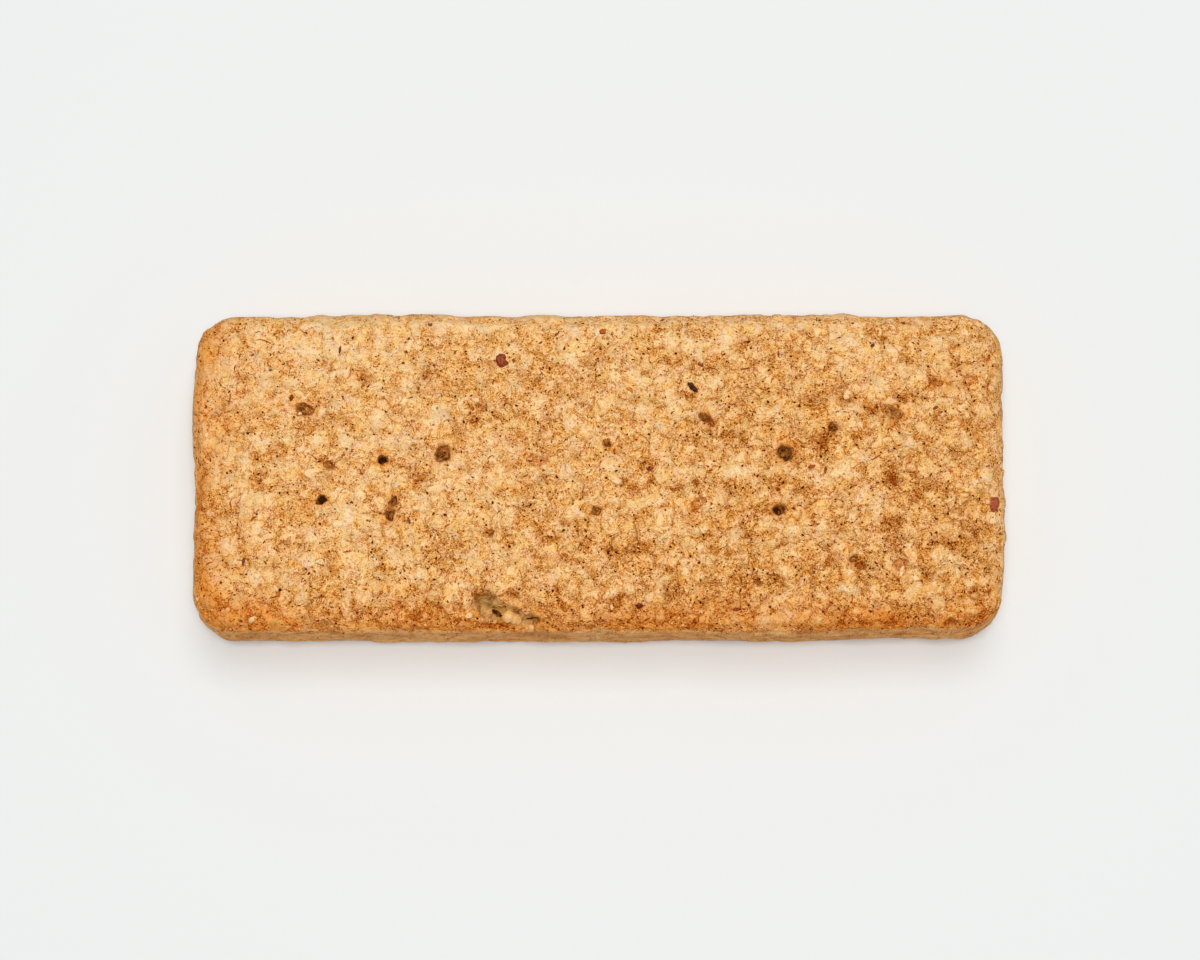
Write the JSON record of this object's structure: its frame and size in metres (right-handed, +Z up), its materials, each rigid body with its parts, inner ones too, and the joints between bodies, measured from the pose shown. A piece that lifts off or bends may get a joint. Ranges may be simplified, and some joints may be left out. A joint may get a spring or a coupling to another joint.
{
  "type": "granola bar",
  "caption": "Soft-baked rectangular oat snack bar with rounded corners, a lumpy pitted top with flakes and dried-fruit bits, and a flat underside.",
  "frame": {"origin": "centre of the flat underside, on the surface that the bar lies on", "axes": "+X along the bar's length to the right in the picture, +Y across it away from the viewer, +Z up through its thickness"},
  "size_m": [0.1002, 0.0404, 0.0155],
  "materials": {
    "baked_oat": "matte, crumbly, golden baked oat crumb with browner edges",
    "oat_flake": "matte, pale cream rolled oat",
    "bran": "matte, reddish brown bran skin",
    "fruit_bit": "dull, slightly sticky dried fruit",
    "seed": "dull dark seed skin"
  },
  "bodies": {
    "root": {"bar": "baked_oat"}
  },
  "joints": []
}
